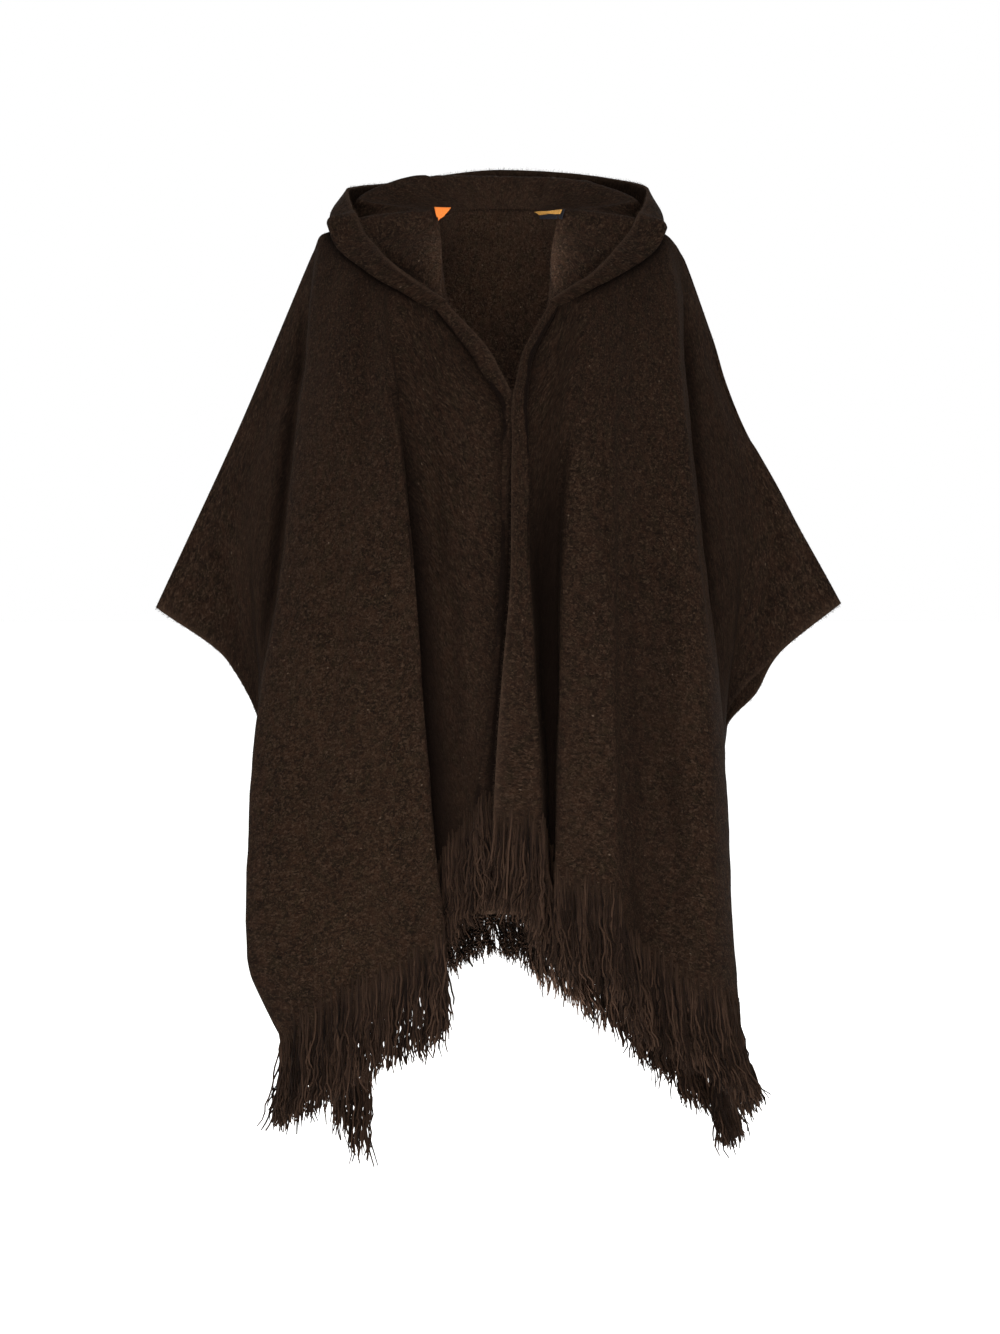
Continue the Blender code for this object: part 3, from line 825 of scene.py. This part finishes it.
hoodCloth = {
    "pitch": 0.0050,
    "rows": 84,
    "clearance": 0.0040,
    "standOff": 0.0085,  # how much higher the outer roll stands over its own fold
    "endFade": 0.045,  # the clearance falls off towards the front edges
    "endSink": 0.0050,  # and the ends sink this far into them, where they are sewn on
    "rails": (0.0, 0.18, 0.32, 0.62, 0.82, 1.0),  # share of the hood's depth at each rail
    # name, then across, down and depth in mm at the neck seam, the fold over the nape, the fall
    # behind it, the bag's bottom, the outer wall and the free rim
    "sections": (
        ("left end", (441, 302, -100), (441, 303, -100), (440, 305, -101),
         (438, 308, -102), (436, 310, -103), (446, 300, -105)),
        ("left front", (441, 264, -58), (435, 264, -62), (426, 268, -68),
         (406, 282, -84), (396, 289, -90), (406, 273, -104)),
        ("left side", (437, 215, -1), (425, 215, -3), (404, 216, -6),
         (350, 236, -14), (329, 238, -18), (358, 223, -30)),
        ("left corner", (449, 213.3, 26), (361, 200, 34), (354, 212, 46),
         (344, 246, 66), (332, 215, 48), (347, 190, 50)),
        ("left back", (466, 209.6, 50), (424, 176, 68), (415, 212, 90),
         (396, 298, 146), (382, 262, 182), (402, 182, 146)),
        ("centre back", (500, 209.3, 62), (500, 177, 82), (500, 222, 102),
         (500, 322, 150), (500, 280, 190), (500, 170, 162)),
        ("right back", (533, 209.6, 50), (568, 180, 68), (584, 213, 90),
         (604, 298, 146), (618, 262, 182), (600, 177, 146)),
        ("right corner", (550, 213.3, 26), (634, 202, 34), (642, 213, 46),
         (650, 246, 66), (660, 216, 48), (648, 191, 50)),
        ("right side", (561, 215, -1), (574, 215, -3), (596, 216, -6),
         (646, 236, -14), (665, 238, -18), (636, 222, -30)),
        ("right front", (552, 264, -58), (557, 264, -62), (566, 268, -68),
         (588, 280, -84), (598, 286, -90), (588, 274, -104)),
        ("right end", (553, 302, -100), (553, 303, -100), (554, 304, -101),
         (556, 306, -102), (558, 307, -103), (550, 300, -105)),
    ),
    "creases": (
        ("left nape fold", 425, 176, 440, 200, 5, -3.0),
        ("right nape fold", 546, 178, 538, 202, 5, -3.0),
        ("left nape swell", 404, 182, 416, 214, 7, 2.0),
        ("right nape swell", 592, 182, 576, 214, 7, 2.0),
        ("left cheek fold", 372, 246, 436, 292, 6, -2.6),
        ("right cheek fold", 628, 246, 572, 288, 6, -2.4),
    ),
    "seamWidth": 0.0022,
    "seamDepth": 0.0011,
}


lift = {
    "reach": 0.03,  # cloth further off than this isn't under the point
    "ridge": 0.035,  # near the shoulder ridge the way out turns upward
    "leastSlope": 0.45,
    "blur": 14,
}


def liftOff(grid, trees, clearances):
    # Moves points that are too near the cloth under them outward.
    inside = Vector((0.0, 0.0, -0.16))
    lifted = grid.copy()
    for i in range(grid.shape[0]):
        for j in range(grid.shape[1]):
            if j == 0 and grid[i, j, 1] > 0.005:
                continue
            point = Vector(grid[i, j])
            for tree in trees:
                spot, normal, index, distance = tree.find_nearest(point)
                if distance > lift["reach"]:
                    continue
                if normal.dot(spot - inside) < 0:
                    normal.negate()
                height = (point - spot).dot(normal)
                if height < clearances[i, j]:
                    onRidge = np.exp(-((point.y / lift["ridge"]) ** 2))
                    way = (normal * (1 - onRidge) + Vector((0, 0, onRidge))).normalized()
                    slope = max(way.dot(normal), lift["leastSlope"])
                    point = point + way * (clearances[i, j] - height) / slope
            lifted[i, j] = point
    return grid + blurred(lifted - grid, lift["blur"])


def shapeHood(hood):
    rails = np.array([section[1:] for section in hood["sections"]], float)
    wanted = evenPlaces(rails, hood["pitch"])
    middle = np.argmin(np.abs(wanted - (len(rails) - 1) / 2))
    wanted[middle] = (len(rails) - 1) / 2
    around = smoothLine(range(len(rails)), rails, wanted)
    depths = np.linspace(0, 1, hood["rows"])
    seen = smoothLine(hood["rails"], np.swapaxes(around, 0, 1), depths)
    rise = np.clip((depths - 0.80) / 0.07, 0, 1)
    clearances = hood["clearance"] + hood["standOff"] * rise * rise * (3 - 2 * rise)
    fromEnd = np.minimum(np.arange(len(wanted)), np.arange(len(wanted))[::-1]) * hood["pitch"]
    fade = eased(np.clip(fromEnd / hood["endFade"], 0, 1))[:, None]
    grid = asSighted(np.swapaxes(seen, 0, 1))
    for turn in range(2):
        grid = liftOff(grid, panelTrees, clearances[None, :] * fade - hood["endSink"] * (1 - fade))
    normals = gridNormals(grid, 1)
    addCreases(grid, normals, hood["creases"])
    addUnevenness(grid, normals, unevenness * 0.8, 8)
    seam = np.exp(-((grid[..., 0] / hood["seamWidth"]) ** 2)) * hood["seamDepth"]
    return grid - normals * seam[..., None]


hoodGrid = shapeHood(hoodCloth)
hoodNormals = gridNormals(hoodGrid, 1)
hoodPiece = addSheet("hoodCloth", hoodGrid, hoodNormals, clothThickness, ("bottom",))
keep(hoodPiece, woolCloth, "wool_cloth", "hood_l", "hood_r")
hoodNap = napOn("hoodNap", hoodGrid, hoodNormals, clothThickness, [edgeOf(hoodGrid, "bottom")], 40)

allCloth = gridTree([grid for grid, normals in shapes.values()] + [hoodGrid])
panels = {}
napSeed = 20
for name, (grid, normals) in shapes.items():
    paintedShelterShade = None if name == "back" else shelterShade(grid, normals, allCloth)
    piece = addSheet(name + "Cloth", grid, normals, clothThickness, paintedShelterShade=paintedShelterShade)
    keep(piece, woolCloth, "wool_cloth", panelTables[name]["node"])
    edges = [edgeOf(grid, side) for side in ("first", "last", "top")]
    fuzz = napOn(name + "Nap", grid, normals, clothThickness, edges, napSeed)
    napSeed += 1
    panels[name] = (piece, fuzz)

print("stage 5: fringe")

fringe = {
    "steps": 13,
    "radius": 0.00125,
    "length": 0.094,
    "rootInside": (0.001, 0.028),  # how far up the cloth's face the strands start
    "twist": 0.011,  # metres for one turn of the yarn
    "layers": 0.0011,
    "lock": 0.0075,  # width of a lock of yarns that hang together
    "lockPull": 0.25,
    "lockDepth": 0.0055,
    "wave": 0.0047,
    "waveSizes": (0.018, 0.0085),
    "uneven": 0.075,  # share by which one yarn's length strays
    "flare": (0.0055, 0.0065, 0.0),
    "taper": 0.40,
}


def strandsOn(name, node, grid, normals, pitch, lean, lengths, seed):
    # Twisted yarns that leave the hem, hang in small locks and end unevenly.
    random = np.random.default_rng(seed)
    line = grid[:, -1]
    down = unitVectors(grid[:, -1] - grid[:, -2])
    travel = lineLength(line)
    count = int(travel[-1] / pitch)
    spot = (np.arange(count) + random.uniform(0.1, 0.9, count)) / count * travel[-1]

    def onHem(values):
        return valuesAt(spot, travel, values)

    base, out, fall = onHem(line), unitVectors(onHem(normals[:, -1])), unitVectors(onHem(down))
    along = unitVectors(onHem(np.gradient(line, axis=0)))
    share = spot / travel[-1]
    layer = random.uniform(-1, 1, count)
    lockCount = max(3, int(travel[-1] / fringe["lock"]))
    locks = (np.arange(lockCount) + random.uniform(0.15, 0.85, lockCount)) / lockCount * travel[-1]
    own = np.argmin(np.abs(spot[:, None] - locks[None, :]), axis=1)
    pull = locks[own] - spot
    forward = random.normal(size=lockCount)[own] * fringe["lockDepth"]
    reach = fringe["length"] * (1 + random.normal(size=count) * fringe["uneven"])
    for middle, width, change in lengths:
        reach = reach * (1 + change * np.exp(-(((share - middle) / width) ** 2)))
    lockReach = softNoise(np.stack([spot, spot * 0, spot * 0], axis=1), 0.014, seed) * 0.05
    reach = reach * (1 + lockReach)
    aside = lean[0] * (1 - share) + lean[1] * share
    q = np.linspace(0, 1, fringe["steps"] + 1)[None, :, None]
    onFace = random.random(count) < 0.5
    low, high = fringe["rootInside"]
    rootInside = np.where(onFace, low + (high - low) * random.random(count) ** 1.8, 0.004)
    layer = np.where(onFace, clothThickness / 2 + fringe["radius"] * 0.2, layer * fringe["layers"])
    start = base + out * layer[:, None] - fall * rootInside[:, None]
    straight = np.array([0.0, 0.0, -1.0])
    turn = np.clip(q * 4, 0, 1)
    heading = unitVectors(fall[:, None] * (1 - turn) + straight * turn)
    segment = ((reach + rootInside) / fringe["steps"])[:, None, None]
    path = start[:, None] + np.cumsum(heading * segment, axis=1) - heading[:, :1] * segment
    flare = random.normal(size=(count, 3)) * np.array(fringe["flare"])
    path = path + (np.array([1.0, 0, 0]) * aside[:, None])[:, None] * q**1.5 + flare[:, None] * q**2
    path = path + along[:, None] * (pull * fringe["lockPull"])[:, None, None] * q**1.4
    path = path + out[:, None] * forward[:, None, None] * q**1.2
    phase = np.stack([spot, share * 0, share * 0], axis=1)[:, None] + np.zeros_like(path)
    phase[..., 2] = path[..., 2]
    phase[..., 1] = random.uniform(0, 0.06, count)[:, None]
    wide, small = fringe["waveSizes"]
    waveX = softNoise(phase, wide, seed + 1) + 0.60 * softNoise(phase, small, seed + 2)
    waveY = softNoise(phase, wide, seed + 3) + 0.45 * softNoise(phase, small, seed + 4)
    waves = np.stack([waveX, waveY, waveX * 0], axis=-1)
    path = path + waves * (fringe["wave"] * np.clip(q * 1.8, 0.08, 1))
    tangent = unitVectors(np.gradient(path, axis=1))
    across = unitVectors(np.cross(tangent, np.array([0.0, 1.0, 0.0])))
    third = np.cross(tangent, across)
    travelled = q * (reach + rootInside)[:, None, None]
    angle = travelled / fringe["twist"] * 2 * np.pi + random.uniform(0, 6.3, (count, 1, 1))
    thick = fringe["radius"] * random.uniform(0.75, 1.15, (count, 1, 1)) * (1 - fringe["taper"] * q**7)
    rings = []
    for k in range(3):
        turnBy = angle + k * 2 * np.pi / 3
        rings.append(path + (across * np.cos(turnBy) + third * np.sin(turnBy)) * thick)
    points = np.stack(rings, axis=2)
    ringCount = fringe["steps"] + 1
    number = np.arange(count * ringCount * 3).reshape(count, ringCount, 3)
    after = np.roll(number, -1, axis=2)
    quads = np.stack([number[:, :-1], after[:, :-1], after[:, 1:], number[:, 1:]], axis=-1).reshape(-1, 4)
    faces = np.concatenate([quads[:, [0, 1, 2]], quads[:, [0, 2, 3]], number[:, 0][:, ::-1], number[:, -1]])
    tone = np.clip(0.8 * random.beta(0.50, 1.0, count) + 0.2 * random.random(lockCount)[own], 0, 1)
    values = {
        "tone": np.repeat(tone, ringCount * 3),
        "along": np.tile(np.repeat(q.ravel(), 3), count),
    }
    piece = meshFromArrays(name, points.reshape(-1, 3), faces, values)
    keep(piece, woolYarn, "wool_yarn", node)
    return piece


# Where a fringe is longer or shorter: share of the hem, width and change.
shortSide = ((1.0, 0.12, -0.36),)
unevenBack = ((0.0, 0.05, 0.22), (0.095, 0.035, -0.42), (0.49, 0.085, -0.50))
hems = (
    # panel, node, from strand to strand, lean at both ends, lengths and seed
    ("frontLeft", "fringe_front_l", 0.00050, (0.007, -0.010), shortSide, 61),
    ("frontRight", "fringe_front_r", 0.00052, (-0.010, 0.026), (), 62),
    ("back", "fringe_back", 0.00047, (-0.002, 0.017), unevenBack, 63),
)
for name, node, pitch, lean, lengths, seed in hems:
    pieceName = "fringe" + name[0].upper() + name[1:]
    strandsOn(pieceName, node, *shapes[name], pitch, lean, lengths, seed)

print("stage 6: labels")

neckTab = {
    "node": "neck_tab",
    # across, down and depth in mm of its four corners: upper two, lower two
    "corners": ((434.5, 207, -31), (451, 207.5, 1), (438, 221, -25), (443.5, 216.5, -14)),
    "thickness": 0.0007,
}
neckLabel = {
    "node": "neck_label",
    "corners": ((539, 211.5, 18), (565, 209, -38), (540, 219, 18), (562, 219, -36)),
    "thickness": 0.0007,
}
labelFold = {
    "corners": ((534.5, 212, 20), (562, 209.5, -39), (539.5, 215, 17), (560, 214.2, -38)),
    "thickness": 0.0006,
}


def addLabel(name, label, material, slot, curl, steps=(14, 10)):
    corners = asSighted(np.array(label["corners"], float))
    across = np.linspace(0, 1, steps[0])[:, None, None]
    down = np.linspace(0, 1, steps[1])[None, :, None]
    top = corners[0] * (1 - across) + corners[1] * across
    low = corners[2] * (1 - across) + corners[3] * across
    grid = top * (1 - down) + low * down
    out = unitVectors(np.cross(corners[1] - corners[0], corners[2] - corners[0]))
    grid = grid + out * (curl * np.sin(np.pi * across) * down + curl * 0.3 * np.sin(9 * across + 4 * down))
    piece = addSheet(name, grid, gridNormals(grid, 1), label["thickness"])
    keep(piece, material, slot, *label.get("node", "").split())
    return piece


orange = ribbonFinish("orangeRibbon", colour(0.42, 0.090, 0.012), colour(0.72, 0.20, 0.035), 900, 0.42)
goldEdge = ribbonFinish("goldEdge", colour(0.10, 0.045, 0.009), colour(0.46, 0.24, 0.055), 900, 0.45)
darkGround, darkThread = colour(0.0022, 0.0022, 0.0036), colour(0.0080, 0.0078, 0.0110)
darkWeave = ribbonFinish("darkWovenLabel", darkGround, darkThread, 900, 0.5)
tabPiece = addLabel("neckTab", neckTab, orange, "orange_ribbon", 0.0008)
labelPiece = addLabel("neckLabel", neckLabel, darkWeave, "dark_label", 0.0008)
foldPiece = addLabel("neckLabelFold", labelFold, goldEdge, "orange_ribbon", 0.0010)

sheetCuts = (
    # panel, width and length of the cut before it was hung, its area, what carries it
    ("frontLeft", (0.73, 0.95), 0.372, "backCloth"),
    ("frontRight", (0.74, 0.90), 0.352, "backCloth"),
    ("back", (1.39, 0.96), 0.735, "hoodCloth"),
)
for name, flat, area, carrier in sheetCuts:
    piece, fuzz = panels[name]

total = 0
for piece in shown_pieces():
    count = sum(len(p.vertices) - 2 for p in piece.data.polygons)
    total += count
    print(piece.name, "triangles", count)
print("total", total)
print("stage 8: floor, light and camera")

studio = {
    "floorDrop": 1.42,  # the shoulders hang this far above the floor
    "floorSize": 60.0,
    "worldStrength": 1.0,
}
bpy.ops.object.select_all(action="DESELECT")
bpy.ops.mesh.primitive_plane_add(size=studio["floorSize"], location=(0, 0, -studio["floorDrop"]))
floor = bpy.context.object
floor.name = "studioFloor"
paleFloor = Finish("paleFloor")
floorLook = {
    "Base Color": colour(0.9, 0.9, 0.9),
    "Roughness": 0.8,
    "Emission Color": colour(1, 1, 1),
    "Emission Strength": 0.35,
}
floor.data.materials.append(paleFloor.finish(floorLook))

world = bpy.data.worlds.new("paleStudio")
bpy.context.scene.world = world
world.use_nodes = True
sky = world.node_tree.nodes["Background"].inputs
sky["Color"].default_value = colour(1, 1, 1)
sky["Strength"].default_value = studio["worldStrength"]

softLights = (
    # name, place, aim, size in metres, watts, spread of its beam in degrees
    ("keyLight", (0.3, -2.6, 1.6), (0.0, 0.0, -0.4), 1.0, 31, 180),
    ("frontLight", (-0.3, -3.4, -0.3), (0.0, 0.0, -0.5), 1.6, 12, 180),
    ("lowLight", (-0.2, -3.0, -1.2), (0.0, 0.0, -1.05), 1.2, 8, 40),
    ("leftLight", (-3.1, -1.7, 0.0), (0.0, 0.0, -0.5), 2.2, 8, 180),
    ("rightLight", (3.1, -1.7, 0.0), (0.0, 0.0, -0.5), 2.2, 9, 180),
    ("backLight", (0.0, 3.6, 0.4), (0.0, 0.0, -0.5), 2.4, 60, 180),
    ("neckLight", (0.005, -0.10, -0.03), (0.0, 0.09, -0.09), 0.08, 0.31, 150),
    ("hemLight", (0.0, -0.02, -1.04), (0.0, 0.15, -0.82), 0.12, 1.0, 90),
)
for name, place, aim, size, watts, spread in softLights:
    bpy.ops.object.light_add(type="AREA", location=place)
    lamp = bpy.context.object
    lamp.name = name
    lamp.data.size = size
    lamp.data.energy = watts
    lamp.data.spread = np.radians(spread)
    lamp.visible_camera = False
    lamp.rotation_euler = (Vector(aim) - Vector(place)).to_track_quat("-Z", "Y").to_euler()

bpy.ops.object.camera_add(location=eyePlace(), rotation=(np.radians(90) - sight["pitch"], 0, 0))
camera = bpy.context.object
camera.name = "photoCamera"
camera.data.sensor_fit = "VERTICAL"
camera.data.sensor_height = sight["sensor"]
camera.data.lens = sight["sensor"] * sight["distance"] / (sight["frameHeight"] * sight["unit"])
camera.data.clip_end = 200
bpy.context.scene.camera = camera
bpy.context.scene.view_settings.view_transform = "Standard"
